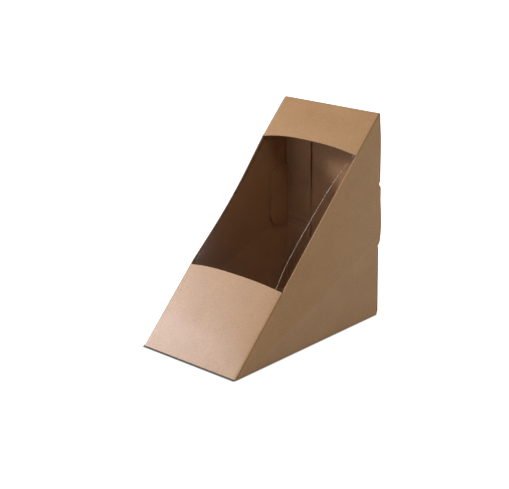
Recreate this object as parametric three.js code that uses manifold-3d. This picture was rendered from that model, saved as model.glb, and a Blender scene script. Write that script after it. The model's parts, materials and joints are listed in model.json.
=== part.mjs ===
// Sandwich wedge pack: a folded kraft carton with a windowed sloping front, a clear film glued
// inside the window, and a back cover that swings on the top fold and locks with two ears.
// Millimetres, +Z up. X runs across the pack, the front fold points to -Y, the cover faces +Y.

import * as THREE from 'three';
import { mergeVertices } from 'three/addons/utils/BufferGeometryUtils.js';
import { ConvexGeometry } from 'three/addons/geometries/ConvexGeometry.js';
import Module from 'manifold-3d';

// Carton
const WIDTH = 72; // across the pack, fold to fold
const DEPTH = 123; // front fold to rear edge, along the base
const HEIGHT = 123; // base to top fold
const BOARD = 0.5; // thickness of the kraft board
const CLEARANCE = 0.3; // between pieces that touch or pass each other
const SIDE_BULGE = 2.5; // how far each side springs outwards on its crease, half-way along
const BULGE_STEPS = 8; // straight lengths that follow the curved crease

// Window in the sloping front, measured along the slope at the side folds
const LOWER_BAND = 54.9;
const UPPER_BAND = 29.1;
const LOWER_ARCH = 2; // rise of the lower edge at mid-width
const UPPER_ARCH = 2.8; // rise of the upper edge at mid-width
const CORNER_RELIEF_ACROSS = 2.4; // cut-off corners at the top fold
const CORNER_RELIEF_DOWN = 0.9;

// Pressed creases that let the sides fold inwards when the pack is stored flat
const CREASE_WIDTH = 0.8;
const CREASE_DEPTH = 0.12;

// Glue tabs of the sides, stuck to the base inside
const TAB_WIDTH = 12;
const TAB_FRONT_RUN = 22; // from the front fold
const TAB_REAR_RUN = 4; // from the rear edge
const TAB_TAPER = 9;

// Dust flaps at the rear, hinged on the side panels
const FLAP_WIDTH = 20.5;
const FLAP_SPRING = THREE.MathUtils.degToRad(3); // they stand a little inside the rear plane
const FLAP_FOOT = 1.2; // above the base, at the fold
const FLAP_FOOT_FREE = 2.6; // above the base, at the free edge
const FLAP_HEAD = 2.2; // below the top, at the fold
const FLAP_HEAD_FREE = 6.5; // below the top, at the free edge
const FLAP_CORNER = 3;

// Locking ears of the cover, tucked through a slit inside each side
const EAR_BASE = 42; // lower end above the floor
const EAR_TOP = 81;
const EAR_REACH = 14; // from the outer face of the cover
const EAR_LOWER_RADIUS = 7;
const EAR_UPPER_RADIUS = 10;
const LIP_REACH = 2.9; // lip that the slit leaves on the side panel, behind the rear edge
const LIP_BASE = 43; // its lower end above the floor
const LIP_PEAK = 57; // height of its widest point above the floor
const LIP_SHOULDER_REACH = 2.1;
const LIP_SHOULDER_DROP = 2.2; // from the lip's top end to its shoulder
const COVER_CORNER = 4; // radius of the cover's free corners
const COVER_FOOT = 0.4; // cover's lower edge above the floor

// Window film
const FILM = 0.1;
const FILM_OVERLAP = 9; // behind the bands
const FILM_LEG = 11; // down the inside of each side
const FILM_BEND_END = 2; // bend radius beside the bands
const FILM_BEND_MIDDLE = 8; // bend radius half-way up the window

const OVERCUT = 1; // how far a cutter runs past what it cuts

// Places worked out from the sizes above
const SLOPE = Math.atan2(HEIGHT, DEPTH);
const SLOPE_LENGTH = Math.hypot(DEPTH, HEIGHT);
const FRONT = -(DEPTH + LIP_REACH) / 2;
const REAR = FRONT + DEPTH;
const HALF = WIDTH / 2;
const INSIDE = HALF - BOARD;
const EAR_OUTER = INSIDE - CLEARANCE;
const EAR_INNER = EAR_OUTER - BOARD;
const SLIT_INNER = EAR_INNER - CLEARANCE;
const COVER_INNER = REAR + CLEARANCE;
const COVER_OUTER = COVER_INNER + BOARD;
const HINGE = new THREE.Vector3(0, COVER_INNER + BOARD / 2, HEIGHT - BOARD / 2);
const creaseRise = (run) => run * Math.tan(SLOPE / 2);

// Point on a side's crease, a share of the way from the front fold to the rear edge
function creasePoint(side, share, inset = 0) {
  const out = HALF - inset + SIDE_BULGE * Math.sin(Math.PI * share);
  return new THREE.Vector3(side * out, FRONT + share * DEPTH, creaseRise(share * DEPTH));
}

// Axes of the four kinds of sheet: lying across, standing along, standing across, on the slope
const X = new THREE.Vector3(1, 0, 0);
const Y = new THREE.Vector3(0, 1, 0);
const Z = new THREE.Vector3(0, 0, 1);
const UP_SLOPE = new THREE.Vector3(0, Math.cos(SLOPE), Math.sin(SLOPE));
const OFF_SLOPE = new THREE.Vector3(0, -Math.sin(SLOPE), Math.cos(SLOPE));
const FRONT_FOLD = new THREE.Vector3(0, FRONT, 0);

const wasm = await Module();
wasm.setup();

function solid(geometry) {
  const bare = geometry.clone();
  for (const name of ['normal', 'uv']) bare.deleteAttribute(name);
  const merged = mergeVertices(bare, 1e-5);
  return new wasm.Manifold(new wasm.Mesh({
    numProp: 3,
    vertProperties: new Float32Array(merged.attributes.position.array),
    triVerts: new Uint32Array(merged.index.array),
  }));
}

function meshOf(name, body, material) {
  const { vertProperties, triVerts } = body.getMesh();
  const geometry = new THREE.BufferGeometry();
  geometry.setAttribute('position', new THREE.BufferAttribute(vertProperties, 3));
  geometry.setIndex(new THREE.BufferAttribute(triVerts, 1));
  geometry.computeVertexNormals();
  const mesh = new THREE.Mesh(geometry, material);
  mesh.name = name;
  return mesh;
}

// An outline (u, v) thickened along w, with u, v and w laid along the given axes
function sheet(outline, thickness, u, v, w, place) {
  const geometry = new THREE.ExtrudeGeometry(outline, {
    depth: thickness, bevelEnabled: false, curveSegments: 8,
  });
  geometry.applyMatrix4(new THREE.Matrix4().makeBasis(u, v, w).setPosition(place));
  return geometry;
}

const lying = (outline, z, thickness) => sheet(outline, thickness, X, Y, Z, new THREE.Vector3(0, 0, z));
const along = (outline, x, thickness) => sheet(outline, thickness, Y, Z, X, new THREE.Vector3(x, 0, 0));
const across = (outline, yBack, thickness) => (
  sheet(outline, thickness, X, Z, Y.clone().negate(), new THREE.Vector3(0, yBack, 0))
);

function polygon(points) {
  return new THREE.Shape(points.map(([u, v]) => new THREE.Vector2(u, v)));
}

function block(x, y, z) {
  const size = [x, y, z].map(([low, high]) => high - low);
  const geometry = new THREE.BoxGeometry(...size);
  return geometry.translate(...[x, y, z].map(([low, high]) => (low + high) / 2));
}

// The wedge with its two sides folded outwards on their creases, cut back by inset on every face
function wedge(inset, rear) {
  const half = HALF - inset;
  const toe = FRONT + inset / Math.tan(SLOPE / 2);
  const top = (rear - FRONT) * Math.tan(SLOPE) - inset / Math.cos(SLOPE);
  const points = [];
  for (const side of [-1, 1]) {
    points.push(new THREE.Vector3(side * half, toe, inset));
    points.push(new THREE.Vector3(side * half, rear, inset));
    points.push(new THREE.Vector3(side * half, rear, top));
    for (let step = 1; step <= BULGE_STEPS; step += 1) points.push(creasePoint(side, step / BULGE_STEPS, inset));
  }
  return solid(new ConvexGeometry(points));
}

// Window opening: straight sides on the folds, both ends arched towards the top
function windowOpening() {
  const low = LOWER_BAND;
  const high = SLOPE_LENGTH - UPPER_BAND;
  const outline = new THREE.Shape();
  outline.moveTo(-INSIDE, low);
  outline.quadraticCurveTo(0, low + 2 * LOWER_ARCH, INSIDE, low);
  outline.lineTo(INSIDE, high);
  outline.quadraticCurveTo(0, high + 2 * UPPER_ARCH, -INSIDE, high);
  const depth = BOARD + 2 * OVERCUT;
  const start = FRONT_FOLD.clone().addScaledVector(OFF_SLOPE, -BOARD - OVERCUT);
  return solid(sheet(outline, depth, X, UP_SLOPE, OFF_SLOPE, start));
}

// Small corner taken off the sloping panel where the top fold ends
function cornerRelief(side) {
  const top = SLOPE_LENGTH;
  const points = [
    [side * (HALF - CORNER_RELIEF_ACROSS), top + OVERCUT],
    [side * (HALF - CORNER_RELIEF_ACROSS), top],
    [side * (HALF + OVERCUT), top - CORNER_RELIEF_DOWN],
    [side * (HALF + OVERCUT), top + OVERCUT],
  ];
  const start = FRONT_FOLD.clone().addScaledVector(OFF_SLOPE, -BOARD);
  return solid(sheet(polygon(points), BOARD + OVERCUT, X, UP_SLOPE, OFF_SLOPE, start));
}

function glueTab(side) {
  const outer = side * (INSIDE + BOARD / 2);
  const inner = side * (INSIDE - TAB_WIDTH);
  const from = FRONT + TAB_FRONT_RUN;
  const to = REAR - TAB_REAR_RUN;
  const points = [[outer, from], [inner, from + TAB_TAPER], [inner, to - TAB_TAPER / 2], [outer, to]];
  return solid(lying(polygon(points), BOARD / 2, 1.5 * BOARD));
}

// Dust flap: rounded free corners, sprung inwards about the side's rear fold
function dustFlap(side) {
  const fold = side * HALF;
  const free = side * (HALF - FLAP_WIDTH);
  const corner = free + side * FLAP_CORNER;
  const outline = new THREE.Shape();
  outline.moveTo(fold, FLAP_FOOT);
  outline.lineTo(corner, FLAP_FOOT_FREE);
  outline.quadraticCurveTo(free, FLAP_FOOT_FREE, free, FLAP_FOOT_FREE + FLAP_CORNER);
  outline.lineTo(free, HEIGHT - FLAP_HEAD_FREE - FLAP_CORNER);
  outline.quadraticCurveTo(free, HEIGHT - FLAP_HEAD_FREE, corner, HEIGHT - FLAP_HEAD_FREE);
  outline.lineTo(fold, HEIGHT - FLAP_HEAD);
  const geometry = across(outline, 0, BOARD);
  geometry.translate(-fold, 0, 0).rotateZ(side * FLAP_SPRING).translate(fold, REAR, 0);
  return solid(geometry);
}

// Lip that the ear's slit leaves on the side panel
function slitLip(side) {
  const top = EAR_TOP - CLEARANCE;
  const rise = (share) => LIP_BASE + share * (LIP_PEAK - LIP_BASE);
  const tip = REAR + LIP_REACH;
  const outline = new THREE.Shape();
  outline.moveTo(REAR - BOARD, LIP_BASE);
  outline.lineTo(REAR, LIP_BASE);
  outline.bezierCurveTo(REAR + 0.6 * LIP_REACH, rise(0.2), tip, rise(0.55), tip, LIP_PEAK);
  outline.lineTo(REAR + LIP_SHOULDER_REACH, top - LIP_SHOULDER_DROP);
  outline.lineTo(REAR, top);
  outline.lineTo(REAR - BOARD, top);
  return solid(along(outline, side > 0 ? INSIDE : -HALF, BOARD));
}

// The ear swings on the hinge, so the slit reaches past its furthest corner
function earSlit(side) {
  const reach = EAR_REACH - EAR_LOWER_RADIUS;
  const swing = Math.hypot(HINGE.z - EAR_BASE, reach) + CLEARANCE;
  const x = [side * SLIT_INNER, side * INSIDE].sort((a, b) => a - b);
  const depth = 2 * BOARD + CLEARANCE;
  return solid(block(x, [REAR - depth, REAR + OVERCUT], [HINGE.z - swing, EAR_TOP + CLEARANCE]));
}

// One length of the pressed crease's groove, which runs a little into the next length
function groove(from, to, outwards) {
  const run = to.clone().sub(from);
  const geometry = new THREE.BoxGeometry(run.length() + CREASE_WIDTH, CREASE_WIDTH, 2 * CREASE_DEPTH);
  const u = run.clone().normalize();
  const w = outwards.clone().addScaledVector(u, -outwards.dot(u)).normalize();
  const v = w.clone().cross(u);
  const middle = from.clone().add(to).multiplyScalar(0.5);
  return solid(geometry.applyMatrix4(new THREE.Matrix4().makeBasis(u, v, w).setPosition(middle)));
}

// The whole groove of one side: along the bulged crease, then on across the dust flap
function crease(side) {
  const outwards = X.clone().multiplyScalar(side);
  const inset = FLAP_WIDTH * Math.sin(FLAP_SPRING);
  const free = side * (HALF - FLAP_WIDTH * Math.cos(FLAP_SPRING));
  const flapEnd = new THREE.Vector3(free, REAR - inset, creaseRise(DEPTH + FLAP_WIDTH));
  let line = groove(creasePoint(side, 1), flapEnd, Y);
  for (let step = 1; step < BULGE_STEPS; step += 1) {
    const from = creasePoint(side, step / BULGE_STEPS);
    line = line.add(groove(from, creasePoint(side, (step + 1) / BULGE_STEPS), outwards));
  }
  return line;
}

function makeCarton() {
  let body = wedge(0, REAR).subtract(wedge(BOARD, REAR + OVERCUT)).subtract(windowOpening());
  for (const side of [-1, 1]) {
    body = body.subtract(cornerRelief(side)).add(glueTab(side)).add(dustFlap(side));
    body = body.subtract(earSlit(side)).add(slitLip(side)).subtract(crease(side));
  }
  return body;
}

// Ear: a D with a tight lower corner and an easier upper one, folded forward off the cover
function ear(side) {
  const tip = COVER_OUTER - EAR_REACH;
  const outline = new THREE.Shape();
  outline.moveTo(COVER_OUTER, EAR_BASE);
  outline.lineTo(tip + EAR_LOWER_RADIUS, EAR_BASE);
  outline.quadraticCurveTo(tip, EAR_BASE, tip, EAR_BASE + EAR_LOWER_RADIUS);
  outline.lineTo(tip, EAR_TOP - EAR_UPPER_RADIUS);
  outline.quadraticCurveTo(tip, EAR_TOP, tip + EAR_UPPER_RADIUS, EAR_TOP);
  outline.lineTo(COVER_OUTER, EAR_TOP);
  return solid(along(outline, side > 0 ? EAR_INNER : -EAR_OUTER, BOARD));
}

function makeCover() {
  const gapLow = EAR_BASE - CLEARANCE;
  const gapHigh = EAR_TOP + CLEARANCE;
  const outline = new THREE.Shape();
  outline.moveTo(-HALF, HINGE.z);
  outline.lineTo(-HALF, gapHigh);
  outline.lineTo(-EAR_OUTER, gapHigh);
  outline.lineTo(-EAR_OUTER, gapLow);
  outline.lineTo(-HALF, gapLow);
  outline.lineTo(-HALF, COVER_FOOT + COVER_CORNER);
  outline.quadraticCurveTo(-HALF, COVER_FOOT, COVER_CORNER - HALF, COVER_FOOT);
  outline.lineTo(HALF - COVER_CORNER, COVER_FOOT);
  outline.quadraticCurveTo(HALF, COVER_FOOT, HALF, COVER_FOOT + COVER_CORNER);
  outline.lineTo(HALF, gapLow);
  outline.lineTo(EAR_OUTER, gapLow);
  outline.lineTo(EAR_OUTER, gapHigh);
  outline.lineTo(HALF, gapHigh);
  outline.lineTo(HALF, HINGE.z);
  const fold = new THREE.CylinderGeometry(BOARD / 2, BOARD / 2, WIDTH, 16);
  fold.rotateZ(Math.PI / 2).translate(HINGE.x, HINGE.y, HINGE.z);
  return solid(across(outline, COVER_OUTER, BOARD)).add(solid(fold)).add(ear(-1)).add(ear(1));
}

// Point of the film at distance s up the slope, where share runs from -1 at the left edge to 1 at
// the right: flat across, bent round each corner and down each side
function filmPoint(share, s, inwards) {
  const low = LOWER_BAND;
  const high = SLOPE_LENGTH - UPPER_BAND;
  const climb = THREE.MathUtils.clamp((s - low) / (high - low), 0, 1);
  const bend = FILM_BEND_END + (FILM_BEND_MIDDLE - FILM_BEND_END) * Math.sqrt(Math.sin(Math.PI * climb));
  const edge = INSIDE - CLEARANCE;
  const flat = edge - bend;
  const arc = (Math.PI / 2) * bend;
  const run = Math.abs(share) * (flat + arc + FILM_LEG - bend);
  const turn = THREE.MathUtils.clamp((run - flat) / bend, 0, Math.PI / 2);
  const x = Math.min(run, flat) + (bend - inwards) * Math.sin(turn);
  const drop = bend - (bend - inwards) * Math.cos(turn) + Math.max(0, run - flat - arc);
  return FRONT_FOLD.clone().addScaledVector(X, Math.sign(share) * x).addScaledVector(UP_SLOPE, s)
    .addScaledVector(OFF_SLOPE, -(BOARD + CLEARANCE + drop));
}

function makeFilm() {
  const from = LOWER_BAND - FILM_OVERLAP;
  const to = SLOPE_LENGTH - UPPER_BAND + FILM_OVERLAP;
  const geometry = new THREE.BoxGeometry(WIDTH, to - from, FILM, 40, 24, 1);
  const { position } = geometry.attributes;
  for (let i = 0; i < position.count; i += 1) {
    const s = (from + to) / 2 + position.getY(i);
    const point = filmPoint(position.getX(i) / HALF, s, FILM / 2 - position.getZ(i));
    position.setXYZ(i, point.x, point.y, point.z);
  }
  return solid(geometry);
}

const kraft = new THREE.MeshStandardMaterial({ color: 0xb98f63, roughness: 0.7, metalness: 0 });
const kraftCover = new THREE.MeshStandardMaterial({ color: 0xa9815a, roughness: 0.72, metalness: 0 });
const clearFilm = new THREE.MeshStandardMaterial({
  color: 0xf2efe9, roughness: 0.08, metalness: 0, transparent: true, opacity: 0.2,
});

const pack = new THREE.Group();
pack.add(meshOf('carton', makeCarton(), kraft));
pack.add(meshOf('window_film', makeFilm(), clearFilm));
pack.add(meshOf('back_cover', makeCover(), kraftCover));

export default pack;
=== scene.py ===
import json
import math

import bmesh
import bpy
from mathutils import Matrix, Vector


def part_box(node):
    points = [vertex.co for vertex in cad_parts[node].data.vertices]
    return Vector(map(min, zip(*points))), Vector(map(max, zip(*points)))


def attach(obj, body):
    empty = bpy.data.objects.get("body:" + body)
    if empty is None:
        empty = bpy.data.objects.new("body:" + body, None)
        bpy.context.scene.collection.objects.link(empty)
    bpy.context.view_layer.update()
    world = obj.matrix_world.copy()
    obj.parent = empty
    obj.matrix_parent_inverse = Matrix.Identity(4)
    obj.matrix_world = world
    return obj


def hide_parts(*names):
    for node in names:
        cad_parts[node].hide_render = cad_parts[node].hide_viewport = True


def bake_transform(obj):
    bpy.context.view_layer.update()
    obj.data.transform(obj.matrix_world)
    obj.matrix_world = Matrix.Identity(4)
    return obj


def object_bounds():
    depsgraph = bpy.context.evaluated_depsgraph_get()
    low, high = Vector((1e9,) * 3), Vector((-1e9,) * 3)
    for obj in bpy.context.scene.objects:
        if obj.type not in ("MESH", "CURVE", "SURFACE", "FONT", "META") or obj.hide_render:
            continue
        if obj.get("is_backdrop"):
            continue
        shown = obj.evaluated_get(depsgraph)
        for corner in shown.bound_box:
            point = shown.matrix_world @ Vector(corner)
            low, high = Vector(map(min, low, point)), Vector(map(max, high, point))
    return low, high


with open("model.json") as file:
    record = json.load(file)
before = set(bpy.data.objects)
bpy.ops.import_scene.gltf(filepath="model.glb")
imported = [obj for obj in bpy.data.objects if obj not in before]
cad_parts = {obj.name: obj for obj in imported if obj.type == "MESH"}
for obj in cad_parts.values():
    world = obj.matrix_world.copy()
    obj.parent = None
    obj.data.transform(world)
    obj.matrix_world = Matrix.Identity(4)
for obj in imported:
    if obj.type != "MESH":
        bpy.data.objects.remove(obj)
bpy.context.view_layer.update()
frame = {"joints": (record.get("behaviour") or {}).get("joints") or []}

# Camera. The pack is photographed from its front right corner, a little above it, with a long
# lens. Angle, distance and lens are those that lay the CAD pack on the photographed one.
mm = 0.001

azimuth, elevation, roll = (math.radians(angle) for angle in (43.5, 19.315, -1.279))
look_at = Vector((0, -1.45 * mm, 0))
right_of_it, above_it, distance = -5.184 * mm, 49.701 * mm, 757.684 * mm

camera_data = bpy.data.cameras.new("camera")
camera_data.sensor_width = 36
camera_data.lens = 91.796
camera = bpy.data.objects.new("camera", camera_data)
turned = Matrix.Rotation(azimuth, 4, "Z") @ Matrix.Rotation(math.pi / 2 - elevation, 4, "X")
turned = turned @ Matrix.Rotation(roll, 4, "Z")
stands_off = Matrix.Translation((right_of_it, above_it, distance))
camera.matrix_world = Matrix.Translation(look_at) @ turned @ stands_off
bpy.context.scene.collection.objects.link(camera)
bpy.context.scene.camera = camera
bpy.context.scene.view_settings.view_transform = "Standard"

# Studio. A round pale sweep, five soft boxes and a faint white surround. What the eye, glass and
# gloss see of the floor is raised to white, all but a narrow line where the pack's base touches it:
# there the floor's glow and its matt colour are both turned down, a painted contact shadow.
sweep_radius = 2.6
sweep_wall = 1.1
sweep_curve = 0.7
curve_steps, round_steps = 8, 96
pale_white = 0.55
# painted contact shadow: the floor's glow and matt colour run from the first level at the base's edge
# up to the second further out
painted_shadow_level, far_glow = 0.06, 1.0
painted_shadow_width = 2.6 * mm
carton_low, carton_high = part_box("carton")
contact_half = carton_high.x - 3.3 * mm  # the sides bulge out past the base
contact_front, contact_rear = carton_low.y, carton_high.y - 5 * mm

sweep = bmesh.new()
profile = [sweep.verts.new((share * sweep_radius, 0, 0)) for share in (0, 0.15, 0.5, 1)]
for step in range(1, curve_steps + 1):
    turn = step / curve_steps * math.pi / 2
    out = sweep_radius + sweep_curve * math.sin(turn)
    profile.append(sweep.verts.new((out, 0, sweep_curve * (1 - math.cos(turn)))))
profile.append(sweep.verts.new((sweep_radius + sweep_curve, 0, sweep_wall)))
profile_edges = [sweep.edges.new(pair) for pair in zip(profile, profile[1:])]
bmesh.ops.spin(sweep, geom=profile + profile_edges, cent=(0, 0, 0), axis=(0, 0, 1),
               angle=2 * math.pi, steps=round_steps, use_merge=True)
bmesh.ops.remove_doubles(sweep, verts=sweep.verts, dist=0.01 * mm)
bmesh.ops.recalc_face_normals(sweep, faces=sweep.faces)
for face in sweep.faces:
    face.smooth = True
sweep_mesh = bpy.data.meshes.new("floor")
sweep.to_mesh(sweep_mesh)
sweep.free()
floor = bpy.data.objects.new("floor", sweep_mesh)
bpy.context.scene.collection.objects.link(floor)
floor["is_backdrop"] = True


def computed(tree, operation, *values, kind="ShaderNodeMath", result=0):
    step = tree.nodes.new(kind)
    step.operation = operation
    for socket, value in zip(step.inputs, values):
        if isinstance(value, bpy.types.NodeSocket):
            tree.links.new(value, socket)
        else:
            socket.default_value = value
    return step.outputs[result]


def ranged(tree, source, low, high, to_low, to_high):
    fit = tree.nodes.new("ShaderNodeMapRange")
    for name, value in (("From Min", low), ("From Max", high), ("To Min", to_low), ("To Max", to_high)):
        fit.inputs[name].default_value = value
    tree.links.new(source, fit.inputs["Value"])
    return fit.outputs["Result"]


def past_contact(tree):
    vectors = "ShaderNodeVectorMath"
    middle = (0, (contact_front + contact_rear) / 2, 0)
    reach = (contact_half, (contact_rear - contact_front) / 2, 0)
    place = tree.nodes.new("ShaderNodeTexCoord").outputs["Object"]
    centred = computed(tree, "SUBTRACT", place, middle, kind=vectors)
    folded = computed(tree, "ABSOLUTE", centred, kind=vectors)
    outside = computed(tree, "SUBTRACT", folded, reach, kind=vectors)
    beyond = computed(tree, "MAXIMUM", outside, (0, 0, 0), kind=vectors)
    return computed(tree, "LENGTH", beyond, kind=vectors, result="Value")


floor_with_painted_shadow = bpy.data.materials.new("floor_with_painted_shadow")
floor_with_painted_shadow.use_nodes = True
floor_tree = floor_with_painted_shadow.node_tree
floor_tree.nodes.clear()
# painted shadow: near the base's footprint the floor's glow and matt colour are turned down, darkest at
# its edge
floor_level_painted_shadow = ranged(floor_tree, past_contact(floor_tree), 0, painted_shadow_width, painted_shadow_level, far_glow)
floor_level_painted_shadow.node.interpolation_type = "SMOOTHSTEP"
floor_path = floor_tree.nodes.new("ShaderNodeLightPath").outputs
floor_seen = floor_path["Is Camera Ray"]
for ray in ("Is Transmission Ray", "Is Glossy Ray"):
    floor_seen = computed(floor_tree, "MAXIMUM", floor_seen, floor_path[ray])
floor_colour_painted_shadow = computed(floor_tree, "MULTIPLY", floor_level_painted_shadow, pale_white)
floor_strength = computed(floor_tree, "MULTIPLY", floor_seen, floor_level_painted_shadow)
floor_matt = floor_tree.nodes.new("ShaderNodeBsdfDiffuse")
floor_glow = floor_tree.nodes.new("ShaderNodeEmission")
floor_sum = floor_tree.nodes.new("ShaderNodeAddShader")
floor_end = floor_tree.nodes.new("ShaderNodeOutputMaterial")
floor_tree.links.new(floor_colour_painted_shadow, floor_matt.inputs["Color"])
floor_tree.links.new(floor_strength, floor_glow.inputs["Strength"])
floor_tree.links.new(floor_matt.outputs[0], floor_sum.inputs[0])
floor_tree.links.new(floor_glow.outputs[0], floor_sum.inputs[1])
floor_tree.links.new(floor_sum.outputs[0], floor_end.inputs["Surface"])
sweep_mesh.materials.append(floor_with_painted_shadow)


def soft_box(name, towards, stand_off, size, power, aimed_at, tint=(1, 1, 1)):
    lamp_data = bpy.data.lights.new(name, "AREA")
    lamp_data.color = tint
    lamp_data.shape = "RECTANGLE"
    lamp_data.size, lamp_data.size_y = size
    lamp_data.energy = power
    lamp = bpy.data.objects.new(name, lamp_data)
    away = Vector(towards).normalized()
    facing = away.to_track_quat("Z", "Y").to_matrix().to_4x4()
    lamp.matrix_world = Matrix.Translation(Vector(aimed_at) + away * stand_off) @ facing
    bpy.context.scene.collection.objects.link(lamp)


front_low_left = Vector((-30, -50, 15)) * mm
pack_middle = Vector((0, 0, 60)) * mm
soft_box("sheen_light", (-0.755, -0.42, 0.50), 0.95, (0.2, 0.2), 10.6, front_low_left,
         (0.94, 0.985, 1.13))
soft_box("top_light", (0.35, -0.35, 0.87), 1.0, (0.25, 0.5), 1.6, pack_middle)
soft_box("inside_light", (-0.20, -0.90, 0.25), 1.0, (0.6, 0.5), 2.0, pack_middle, (1, 0.98, 1.2))
soft_box("side_light", (0.93, 0.30, 0.22), 0.90, (0.9, 0.7), 2.85, pack_middle)
soft_box("back_light", (-0.30, 0.90, 0.35), 1.1, (0.8, 0.8), 4.0, pack_middle)

world = bpy.data.worlds.new("studio")
world.use_nodes = True
world.node_tree.nodes["Background"].inputs["Color"].default_value = (1, 1, 1, 1)
world.node_tree.nodes["Background"].inputs["Strength"].default_value = 0.02
bpy.context.scene.world = world

# Carton. One die-cut blank of brown kraft board, scored, folded round and glued: base, two creased
# sides, sloping front with the window, dust flaps at the back, and the lips left by the ear slits.
board = 0.5 * mm
width = 72 * mm
half = width / 2
fold_radius = 0.45 * mm
front_radius = 0.3 * mm
lip_reach = 2.9 * mm

front, height = carton_low.y, carton_high.z
rear = carton_high.y - lip_reach
depth = rear - front
slope = math.atan2(height, depth)
up_slope = Vector((0, math.cos(slope), math.sin(slope)))
off_slope = Vector((0, -math.sin(slope), math.cos(slope)))
front_fold = Vector((0, front, 0))
slope_length = math.hypot(depth, height)

lower_band = 54.9 * mm
upper_band = 29.1 * mm
window_low, window_high = lower_band, slope_length - upper_band
lower_arch, upper_arch = 1.95 * mm, 3.0 * mm
arch_peak = -6 * mm  # the arches rise faster on the left
arch_fullness = 2.4
arch_depth = 16 * mm  # how far from the window the bands still follow its arches
free_edge_lift = 0.75 * fold_radius  # the board's cut edges beside the window stand this much higher
crown = 0.8 * mm  # the front stands a little proud between its folds
crown_start, crown_end = 25 * mm, 20 * mm  # lengths over which it rises from each fold
side_bulge = 2.3 * mm  # the sides spring outwards on their creases
crease_bluntness = 0.99  # share of the bulge that is left on the crease itself
free_edge_bow = 2.4 * mm  # the film pulls the left side in along the window
crease_width = 0.8 * mm
crease_depth = 0.17 * mm
relief_across, relief_down = 1.6 * mm, 0.6 * mm
fold_top_behind, fold_top_below = 0.2 * mm, 0.648 * mm  # middle of the top fold's bend
fold_top_radius = 0.6 * mm
rear_bow = [(0, -0.5), (36, -0.35), (105, 1.15), (121.8, 0.3)]  # rear edges: height, stands out, in mm

flap_width = 20.5 * mm
flap_spring = math.radians(2.2)
flap_foot, flap_foot_free = 1.2 * mm, 2.6 * mm
flap_head, flap_head_free = height - 2.2 * mm, height - 6.5 * mm
flap_corner = 3 * mm
slit_low, slit_high = 41.9 * mm, 82.3 * mm
slit_inner = 34.4 * mm
lip_low, lip_high = 43.3 * mm, 80.9 * mm
lip_outline = [(43.3, 0), (45.4, 1.6), (50.2, 2.4), (56.8, 2.9), (64.4, 2.5), (71.2, 2.0),
               (78.5, 2.1), (80.9, 0.4)]  # height and reach behind the rear edge, in mm
lip_steps, lip_step = 3, 0.1 * mm
tab_width, tab_taper = 12 * mm, 9 * mm
tab_front_run, tab_rear_run = 22 * mm, 4 * mm
glue_line = 0.02 * mm
hair = 0.01 * mm  # places nearer than this are the same
fold_and_shade_finish = 2  # place of the darker fold board among the board's three materials: creased board on the side folds, painted shade under the front fold


def cut_across(blank, point, normal):
    geom = blank.verts[:] + blank.edges[:] + blank.faces[:]
    bmesh.ops.bisect_plane(blank, geom=geom, dist=hair, plane_co=point, plane_no=normal)


def steps_between(low, high, count):
    return [low + (high - low) * step / count for step in range(count + 1)]


def drop_faces(blank, unwanted):
    faces = [face for face in blank.faces if unwanted(face.calc_center_median())]
    bmesh.ops.delete(blank, geom=faces, context="FACES")


def along_slope(point):
    return (point - front_fold).dot(up_slope)


def above_slope(point):
    return (point - front_fold).dot(off_slope)


def smooth_step(value):
    value = min(max(value, 0), 1)
    return value * value * (3 - 2 * value)


carton = bmesh.new()
wedge_corners = ((front, 0), (rear, 0), (rear, height))
wedge_side = carton.faces.new([carton.verts.new((-half, y, z)) for y, z in wedge_corners])
toe = min(wedge_side.verts, key=lambda vert: vert.co.y)
bmesh.ops.bevel(carton, geom=[toe], affect="VERTICES", segments=5, profile=0.5, material=-1,
                offset=front_radius / math.tan(slope / 2), offset_type="OFFSET")
grown = bmesh.ops.extrude_face_region(carton, geom=carton.faces[:])["geom"]
bmesh.ops.translate(carton, vec=(width, 0, 0),
                    verts=[part for part in grown if isinstance(part, bmesh.types.BMVert)])
bmesh.ops.recalc_face_normals(carton, faces=carton.faces)
drop_faces(carton, lambda centre: centre.y > rear - 0.1 * mm)
side_folds = [edge for edge in carton.edges if len(edge.link_faces) == 2
              and abs(edge.verts[0].co.x - edge.verts[1].co.x) < 1 * mm]
bmesh.ops.bevel(carton, geom=side_folds, affect="EDGES", offset=fold_radius, segments=4,
                profile=0.5, material=fold_and_shade_finish, offset_type="OFFSET")

window_rows = steps_between(window_low * math.cos(slope), window_high * math.cos(slope), 26)
band_rows = steps_between(0, window_rows[0], 16)[1:-1]
band_rows += steps_between(window_rows[-1], depth, 9)[1:-1]
window_ends = [window_rows[0] + 0.3 * mm, window_rows[-1] - 0.3 * mm]
for run in window_rows + band_rows + window_ends + [depth - fold_radius]:
    cut_across(carton, (0, front + run, 0), (0, 1, 0))
last_column = 33.6 * mm
for x in steps_between(-last_column, last_column, 28):
    cut_across(carton, (x, 0, 0), (1, 0, 0))
crease_normal = Vector((0, -math.sin(slope / 2), math.cos(slope / 2)))
for offset in (-2, -1, 0, 1, 2):
    cut_across(carton, front_fold + crease_normal * offset * crease_width / 2, crease_normal)
rear_rows = [flap_foot, flap_head, slit_low, slit_high] + steps_between(lip_low, lip_high, 16)
rear_rows += steps_between(flap_foot, slit_low, 9)[1:-1]
rear_rows += steps_between(slit_high, flap_head, 9)[1:-1]
for z in rear_rows:
    cut_across(carton, (0, 0, z), (0, 0, 1))

fold_top = Vector((0, rear + fold_top_behind, height - fold_top_below))
front_end = along_slope(fold_top)
cut_across(carton, front_fold + up_slope * front_end, up_slope)
drop_faces(carton, lambda centre: along_slope(centre) > front_end)


def in_window(centre):
    return (window_low < along_slope(centre) < window_high
            and above_slope(centre) > -0.98 * fold_radius)


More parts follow.
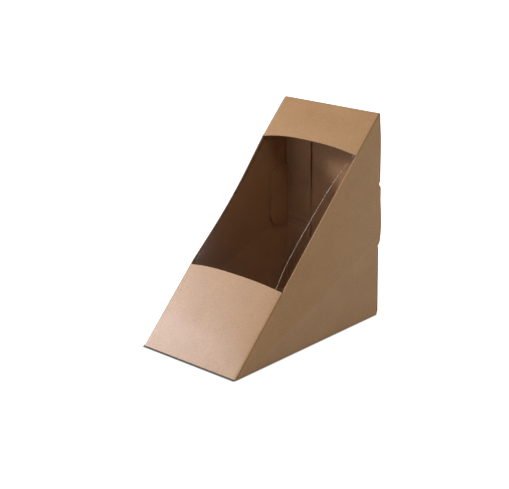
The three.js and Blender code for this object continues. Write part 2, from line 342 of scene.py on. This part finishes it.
drop_faces(carton, in_window)
for vert in carton.verts:
    beside_window = window_low + 0.1 * mm < along_slope(vert.co) < window_high - 0.1 * mm
    if beside_window and vert.is_boundary and above_slope(vert.co) > -2 * fold_radius:
        vert.co += off_slope * free_edge_lift


def in_slit(centre):
    return slit_low < centre.z < slit_high


def edge_chain(blank, low, high, keep):
    def belongs(vert):
        return keep(vert.co) and low - 2 * hair < vert.co.z < high + 2 * hair

    return [edge for edge in blank.edges if all(belongs(vert) for vert in edge.verts)
            and abs(edge.verts[0].co.z - edge.verts[1].co.z) > 0.05 * mm]


def grow(blank, edges, step):
    grown = bmesh.ops.extrude_edge_only(blank, edges=edges)["geom"]
    verts = [part for part in grown if isinstance(part, bmesh.types.BMVert)]
    bmesh.ops.translate(blank, vec=step, verts=verts)
    ends = set(verts)
    return [part for part in grown if isinstance(part, bmesh.types.BMEdge) and set(part.verts) <= ends]


for side in (-1, 1):
    drop_faces(carton, lambda centre: side * centre.x > half - hair and not in_slit(centre)
               and flap_foot < centre.z < flap_head and centre.y > rear - fold_radius)
    lip_edges = edge_chain(carton, lip_low, lip_high, lambda place:
                           side * place.x > half - hair and place.y > rear - hair)
    for step in range(lip_steps):
        lip_edges = grow(carton, lip_edges, (0, lip_step, 0))
    flap_edges = edge_chain(carton, flap_foot, flap_head, lambda place:
                            side * place.x > half - hair and abs(place.y - rear + fold_radius) < hair)
    bent = bmesh.ops.spin(carton, geom=flap_edges, axis=(0, 0, 1), steps=5,
                          cent=(side * (half - fold_radius), rear - fold_radius, 0),
                          angle=side * (math.pi / 2 + flap_spring))["geom_last"]
    flap_edges = [part for part in bent if isinstance(part, bmesh.types.BMEdge)]
    inwards = Vector((-side * math.cos(flap_spring), -math.sin(flap_spring), 0))
    rounding = [flap_width - flap_corner * (1 - math.sin(turn))
                for turn in steps_between(0, math.pi / 2, 5)]
    reached = fold_radius
    for reach in steps_between(half - slit_inner, rounding[0], 6)[:-1] + rounding:
        flap_edges = grow(carton, flap_edges, inwards * (reach - reached))
        reached = reach
    drop_faces(carton, lambda centre: in_slit(centre) and slit_inner < side * centre.x < half - hair
               and centre.y > rear - fold_radius - 0.2 * mm)


def on_flap(centre):
    return (abs(centre.x) < half - fold_radius and centre.y > rear - 2 * mm
            and flap_foot < centre.z < flap_head)


def interpolated(table, at, eased=True):
    for (low, near), (high, far) in zip(table, table[1:]):
        if at <= high:
            share = max((at - low) / (high - low), 0)
            return near + (far - near) * (smooth_step(share) if eased else share)
    return table[-1][1]


def lip_shape(z):
    return interpolated(lip_outline, z / mm, eased=False) * mm


def bowed(z):
    return interpolated(rear_bow, z / mm) * mm


def arch_share(x):
    span = half - arch_peak if x > arch_peak else half + arch_peak
    return 1 - min(abs(x - arch_peak) / span, 1) ** arch_fullness


def sprung_side(place):
    run = place.y - front
    crease_height = run * math.tan(slope / 2)
    below = min(place.z / crease_height, 1)
    above = min(max((run - place.z) / (run - crease_height), 0), 1)
    off_crease = abs((place - front_fold).dot(crease_normal)) / (crease_width / 2)
    sprung = side_bulge * math.sin(math.pi * run / depth) * min(below, above, crease_bluntness)
    pressed = crease_depth * max(1 - off_crease, 0)
    moved = sprung - pressed if place.x > 0 else pressed - sprung
    climb = (along_slope(place) - window_low) / (window_high - window_low)
    if place.x < 0 and 0 < climb < 1 and below >= 1:
        moved += free_edge_bow * math.sin(math.pi * climb) ** 1.2 * (1 - above)
    return Vector((moved, 0, 0))


def shaped_front(place):
    along = along_slope(place)
    if along < window_low + 1 * mm:
        arch = lower_arch * max(1 - (window_low - along) / arch_depth, 0) ** 2
    else:
        arch = upper_arch * max(1 - (along - window_high) / arch_depth, 0) ** 2
    proud = crown * (1 - (abs(place.x) / half) ** 3) * smooth_step(along / crown_start)
    proud *= smooth_step((front_end - along) / crown_end)
    climb = arch * arch_share(place.x)
    if along > front_end - 0.1 * mm:
        climb -= relief_down * max(abs(place.x) - half + relief_across, 0) / relief_across
    return up_slope * climb + off_slope * max(proud, 0)


def flap_height(place):
    reach = (half - abs(place.x)) / math.cos(flap_spring)
    share = min(reach / flap_width, 1)
    round_in = max(reach - flap_width + flap_corner, 0)
    corner = flap_corner - math.sqrt(max(flap_corner ** 2 - round_in ** 2, 0))
    low = flap_foot + (flap_foot_free - flap_foot) * share + corner
    high = flap_head + (flap_head_free - flap_head) * share - corner
    return low + (high - low) * (place.z - flap_foot) / (flap_head - flap_foot)


for vert in carton.verts:
    place = vert.co.copy()
    on_side = abs(place.x) > half - hair
    behind_rear = (place.y - rear) / (lip_steps * lip_step)
    if on_side and place.y > rear + 2 * hair:
        vert.co.y = rear + behind_rear * lip_shape(place.z)
    elif on_side and place.y > front:
        vert.co += sprung_side(place)
    elif above_slope(place) > -0.9 * fold_radius and place.z > 1 * mm:
        vert.co += shaped_front(place)
    elif any(on_flap(place + Vector((0, 0, step))) for step in (-mm, 0, mm)):
        vert.co.z = flap_height(place)
    if place.y > rear - 2 * mm:
        vert.co.y += bowed(vert.co.z) * (1 - min(max(behind_rear, 0), 1))

# Painted shade: the faces round the underside of the front fold take the darker fold board, standing in
# for the shade under the fold.
for face in carton.faces:
    centre = face.calc_center_median()
    if centre.z < 2 * front_radius and centre.y < front + 3 * front_radius:
        face.material_index = fold_and_shade_finish

for side in (-1, 1):
    start, end = front + tab_front_run, rear - tab_rear_run
    outer, inner = side * (half - board), side * (half - board - tab_width)
    corners = [(outer, start), (inner, start + tab_taper), (inner, end - tab_taper / 2), (outer, end)]
    tab = carton.faces.new([carton.verts.new((x, y, board + glue_line)) for x, y in corners])
    tab.normal_update()
    if tab.normal.z > 0:
        tab.normal_flip()


# Kraft board: unbleached brown pulp, calendered to a faint sheen, with long fibres, darker specks
# and a cloudy unevenness from the way the pulp settles on the wire.
def fibre_noise(tree, coordinates, stretch, scale, detail):
    laid = tree.nodes.new("ShaderNodeMapping")
    laid.inputs["Scale"].default_value = stretch
    laid.inputs["Rotation"].default_value = (0.5, 0.9, 0.3)
    cloud = tree.nodes.new("ShaderNodeTexNoise")
    cloud.inputs["Scale"].default_value = scale
    cloud.inputs["Detail"].default_value = detail
    tree.links.new(coordinates, laid.inputs["Vector"])
    tree.links.new(laid.outputs[0], cloud.inputs["Vector"])
    return cloud.outputs["Fac"]


def tinted(tree, share, under, over):
    mix = tree.nodes.new("ShaderNodeMix")
    mix.data_type = "RGBA"
    tree.links.new(share, mix.inputs["Factor"])
    for socket, colour in ((mix.inputs["A"], under), (mix.inputs["B"], over)):
        if isinstance(colour, tuple):
            socket.default_value = colour
        else:
            tree.links.new(colour, socket)
    return mix.outputs["Result"]


def kraft_board(name, pale, dark, fleck, roughness):
    board_finish = bpy.data.materials.new(name)
    board_finish.use_nodes = True
    tree = board_finish.node_tree
    shader = tree.nodes["Principled BSDF"]
    place = tree.nodes.new("ShaderNodeTexCoord").outputs["Object"]
    clouds = fibre_noise(tree, place, (1, 1, 1), 70, 4)
    grain = fibre_noise(tree, place, (1, 1, 1), 1500, 3)
    fibres = fibre_noise(tree, place, (0.12, 1, 1), 2600, 2)
    cross_fibres = fibre_noise(tree, place, (1, 1, 0.15), 2200, 2)
    specks = fibre_noise(tree, place, (1, 1, 1), 900, 1)
    cloudy = ranged(tree, clouds, 0.3, 0.7, 0.15, 0.5)
    grainy = ranged(tree, grain, 0.3, 0.7, -0.3, 0.6)
    base = tinted(tree, computed(tree, "ADD", cloudy, grainy), pale, dark)
    for marks, low, high, strength in ((fibres, 0.62, 0.74, 0.35), (cross_fibres, 0.64, 0.76, 0.3),
                                       (specks, 0.70, 0.78, 0.5)):
        base = tinted(tree, ranged(tree, marks, low, high, 0, strength), base, fleck)
    tree.links.new(base, shader.inputs["Base Color"])
    sheen = ranged(tree, grain, 0.3, 0.7, roughness - 0.04, roughness + 0.06)
    tree.links.new(sheen, shader.inputs["Roughness"])
    shader.inputs["IOR"].default_value = 1.31
    tooth = tree.nodes.new("ShaderNodeBump")
    tooth.inputs["Strength"].default_value = 0.3
    tooth.inputs["Distance"].default_value = 0.03 * mm
    tree.links.new(fibres, tooth.inputs["Height"])
    tree.links.new(tooth.outputs[0], shader.inputs["Normal"])
    return board_finish


kraft_face = kraft_board("kraft_face", (0.472, 0.270, 0.121, 1), (0.38, 0.207, 0.086, 1),
                         (0.24, 0.125, 0.05, 1), 0.40)
kraft_edge = kraft_board("kraft_cut_edge", (0.47, 0.28, 0.14, 1), (0.39, 0.22, 0.10, 1),
                         (0.24, 0.12, 0.05, 1), 0.8)
# darker board for the creased side folds, also used as painted shade under the front fold
kraft_fold_and_shade = kraft_board("kraft_fold_and_shade", (0.37, 0.21, 0.09, 1), (0.30, 0.16, 0.063, 1),
                         (0.20, 0.10, 0.035, 1), 0.6)


def finished_board(name, blank):
    flat_sheet = bpy.data.meshes.new(name)
    blank.to_mesh(flat_sheet)
    blank.free()
    piece = bpy.data.objects.new(name, flat_sheet)
    bpy.context.scene.collection.objects.link(piece)
    thick = piece.modifiers.new("thickness", "SOLIDIFY")
    thick.thickness = board
    thick.offset = -1
    thick.use_quality_normals = True
    thick.material_offset_rim = 1
    for finish in (kraft_face, kraft_edge, kraft_fold_and_shade):
        flat_sheet.materials.append(finish)
    view = bpy.context.evaluated_depsgraph_get()
    solid_mesh = bpy.data.meshes.new_from_object(piece.evaluated_get(view))
    piece.modifiers.clear()
    piece.data = solid_mesh
    bpy.data.meshes.remove(flat_sheet)
    solid_mesh.name = name
    body = bmesh.new()
    body.from_mesh(solid_mesh)
    for edge in body.edges:
        edge.smooth = len(edge.link_faces) == 2 and edge.calc_face_angle() < math.radians(40)
    for vert in body.verts:
        vert.co.z = max(vert.co.z, 0)  # the base lies on the floor
    for face in body.faces:
        face.smooth = True
    body.to_mesh(solid_mesh)
    body.free()
    return piece


carton_board = finished_board("carton_board", carton)
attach(carton_board, "carton")
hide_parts("carton")

# Back cover. The last panel of the blank: it hangs from the top fold outside the dust flaps, and its
# two ears tuck forward through the slits, between the side panels and the flaps.
hinge = Vector(frame["joints"][0]["pos_m"])
cover_face = hinge.y + board / 2
cover_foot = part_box("back_cover")[0].z
cover_head = fold_top.z
cover_corner = 1.8 * mm
ear_fold_radius = 0.6 * mm
ear_outer = half - board - 0.3 * mm
ear_low, ear_high = 42.6 * mm, 82 * mm
ear_reach_low, ear_reach_high = 16.4 * mm, 15.4 * mm
ear_corner = 7 * mm
ear_taper_low, ear_taper_high = 0.14, 0.10  # how far its edges close in along its reach
ear_steps, ear_step = 12, 1 * mm
cover_gap = 0.22 * mm  # the cover rests on the rear edges of the sides

cover = bmesh.new()
cover_outline = ((-half, cover_foot), (half, cover_foot), (half, cover_head), (-half, cover_head))
cover_sheet = cover.faces.new([cover.verts.new((-x, cover_face, z)) for x, z in cover_outline])
cover_sheet.normal_update()
free_corners = [vert for vert in cover.verts if vert.co.z < cover_foot + 1 * mm]
bmesh.ops.bevel(cover, geom=free_corners, affect="VERTICES", offset=cover_corner, segments=6,
                profile=0.5, material=-1, offset_type="OFFSET")
ear_side = ear_outer - ear_fold_radius
for x in steps_between(-ear_side, ear_side, 12) + [half - cover_corner, cover_corner - half]:
    cut_across(cover, (x, 0, 0), (1, 0, 0))
ear_rows = steps_between(ear_low, ear_high, 16)
rows_below = steps_between(cover_foot + cover_corner, ear_low, 8)
rows_above = steps_between(ear_high, cover_head, 9)
for z in ear_rows + rows_below + rows_above:
    cut_across(cover, (0, 0, z), (0, 0, 1))
drop_faces(cover, lambda centre: ear_low < centre.z < ear_high and abs(centre.x) > ear_side)
for side in (-1, 1):
    ear_edges = edge_chain(cover, ear_low, ear_high, lambda place:
                           abs(side * place.x - ear_side) < hair)
    bent = bmesh.ops.spin(cover, geom=ear_edges, axis=(0, 0, 1), steps=5, angle=-side * math.pi / 2,
                          cent=(side * ear_side, cover_face - ear_fold_radius, 0))["geom_last"]
    ear_edges = [part for part in bent if isinstance(part, bmesh.types.BMEdge)]
    for step in range(ear_steps):
        ear_edges = grow(cover, ear_edges, (0, -ear_step, 0))
for vert in cover.verts:
    reach = cover_face - vert.co.y
    if reach > ear_fold_radius + hair:
        climb = (vert.co.z - ear_low) / (ear_high - ear_low)
        full = ear_reach_low + (ear_reach_high - ear_reach_low) * climb
        share = math.sin((reach - ear_fold_radius) / (ear_steps * ear_step) * math.pi / 2)
        reach = ear_fold_radius + (full - ear_fold_radius) * share
        round_in = min(max(reach - full + ear_corner, 0), ear_corner)
        corner = ear_corner - math.sqrt(ear_corner ** 2 - round_in ** 2)
        low = ear_low + ear_taper_low * reach + corner
        high = ear_high - ear_taper_high * reach - corner
        vert.co = (vert.co.x, cover_face - reach, low + (high - low) * climb)
    below_fold = (cover_head - vert.co.z) / (8 * mm)
    vert.co.y += (bowed(vert.co.z) - cover_gap) * smooth_step(below_fold)
cover_board = finished_board("cover_board", cover)
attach(cover_board, "cover")
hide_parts("back_cover")

# Top fold. The scored line where the sloping front turns down into the cover: the same board, bent
# round a small radius, built in its closed shape.
fold = bmesh.new()
fold_start = fold_top + off_slope * fold_top_radius
line = [fold.verts.new((x, fold_start.y, fold_start.z)) for x in steps_between(-half, half, 24)]
line_edges = [fold.edges.new(pair) for pair in zip(line, line[1:])]
bmesh.ops.spin(fold, geom=line + line_edges, cent=fold_top, axis=(1, 0, 0), steps=10,
               angle=-(math.pi / 2 + slope))
bmesh.ops.recalc_face_normals(fold, faces=fold.faces)
if sum(face.normal.z for face in fold.faces) < 0:
    bmesh.ops.reverse_faces(fold, faces=fold.faces)
for vert in fold.verts:
    spare = relief_across * max(1 - (vert.co.y - fold_start.y) / (cover_face - fold_start.y), 0)
    vert.co.x *= (half - spare) / half
top_fold = finished_board("top_fold", fold)
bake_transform(top_fold)

# Window film. A clear sheet glued behind both bands and down the inside of both sides. It stands
# proud of the left side, where it pulls the board in, and breaks into a sharp ridge near the right.
film_thickness = 0.1 * mm
film_overlap = 9 * mm
film_leg = 1 * mm
film_crest = 0.7 * mm
film_inside = half - board - 0.15 * mm
ridge_near, ridge_far = 2.8 * mm, 8.5 * mm  # from the right fold: at the top corner, along the rest
ridge_run = 5.5  # how fast it goes from the one to the other
ridge_turn = 4 * mm  # it nears the fold again beside the lower band
ridge_margin = 2.2 * mm


def film_outline(climb):
    swell = max(math.sin(math.pi * min(max(climb, 0), 1)), 0)
    left = -film_inside + free_edge_bow * swell ** 1.2
    level = -board - 0.1 * mm
    crest = level + (film_crest - level) * swell ** 1.5
    ridge = half - ridge_far + (ridge_far - ridge_near) * math.exp(-ridge_run * min(1 - climb, 1.2))
    ridge += ridge_turn * smooth_step((0.25 - climb) / 0.45)
    ridge = min(ridge, film_inside - ridge_margin)
    strip = film_inside - ridge
    drop = level - 1.2 * strip
    return [
        (left, crest - 2 * mm - film_leg),
        (left, crest - 2 * mm),
        (left + 0.1 * mm, crest - 0.3 * mm),
        (left + 1 * mm, crest),
        (left + 16 * mm, level + 0.55 * (crest - level)),
        (left + 32 * mm, level + 0.15 * (crest - level)),
        (ridge - 16 * mm, level),
        (ridge - 5 * mm, level),
        (ridge - 0.9 * mm, level),
        (ridge + 0.1 * mm, level - 0.25 * mm),
        (ridge + 0.9 * mm, level - 0.95 * mm),
        (ridge + 0.6 * strip, level + 0.45 * (drop - level)),
        (film_inside - 0.3 * mm, drop + 0.5 * mm),
        (film_inside, drop - 1 * mm),
        (film_inside, drop - 1 * mm - film_leg),
    ]


def film_point(across, along):
    outline = film_outline((along - window_low) / (window_high - window_low))
    spans = len(outline) - 2
    place = min(across * spans, spans - 1e-6)
    first, share = int(place), place - int(place)
    before, middle, after = (Vector(point) for point in outline[first:first + 3])
    bend = before * (1 - share) ** 2 + middle * (1 + 2 * share - 2 * share ** 2) + after * share ** 2
    x, lift = bend / 2
    return front_fold + Vector((x, 0, 0)) + up_slope * along + off_slope * lift


film_sheet = bmesh.new()
bmesh.ops.create_grid(film_sheet, x_segments=91, y_segments=90, size=0.5)
film_start, film_length = window_low - film_overlap, window_high - window_low + 2 * film_overlap
for vert in film_sheet.verts:
    vert.co = film_point(vert.co.x + 0.5, film_start + (vert.co.y + 0.5) * film_length)
for face in film_sheet.faces:
    face.smooth = True
film_mesh = bpy.data.meshes.new("film")
film_sheet.to_mesh(film_mesh)
film_sheet.free()
film_piece = bpy.data.objects.new("film", film_mesh)
bpy.context.scene.collection.objects.link(film_piece)
film_thick = film_piece.modifiers.new("thickness", "SOLIDIFY")
film_thick.thickness = film_thickness
film_thick.offset = 0

clear_film = bpy.data.materials.new("clear_film")
clear_film.use_nodes = True
film_tree = clear_film.node_tree
film_tree.nodes.remove(film_tree.nodes["Principled BSDF"])
film_glance = film_tree.nodes.new("ShaderNodeLayerWeight")
film_glance.inputs["Blend"].default_value = 0.5
film_path = film_tree.nodes.new("ShaderNodeLightPath")
film_steep = computed(film_tree, "POWER", film_glance.outputs["Facing"], 5)
film_gloss = ranged(film_tree, film_steep, 0, 1, 0.035, 0.9)
film_share = computed(film_tree, "SUBTRACT", film_gloss, film_path.outputs["Is Shadow Ray"])
film_share.node.use_clamp = True
film_clear = film_tree.nodes.new("ShaderNodeBsdfTransparent")
film_tint = tinted(film_tree, film_steep, (0.93, 0.93, 0.94, 1), (0.78, 0.75, 0.72, 1))
film_tree.links.new(film_tint, film_clear.inputs["Color"])
film_mirror = film_tree.nodes.new("ShaderNodeBsdfGlossy")
film_mirror.inputs["Roughness"].default_value = 0.10
film_mix = film_tree.nodes.new("ShaderNodeMixShader")
film_tree.links.new(film_share, film_mix.inputs["Fac"])
film_tree.links.new(film_clear.outputs[0], film_mix.inputs[1])
film_tree.links.new(film_mirror.outputs[0], film_mix.inputs[2])
film_tree.links.new(film_mix.outputs[0], film_tree.nodes["Material Output"].inputs["Surface"])
film_mesh.materials.append(clear_film)
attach(film_piece, "carton")
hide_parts("window_film")

low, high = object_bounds()
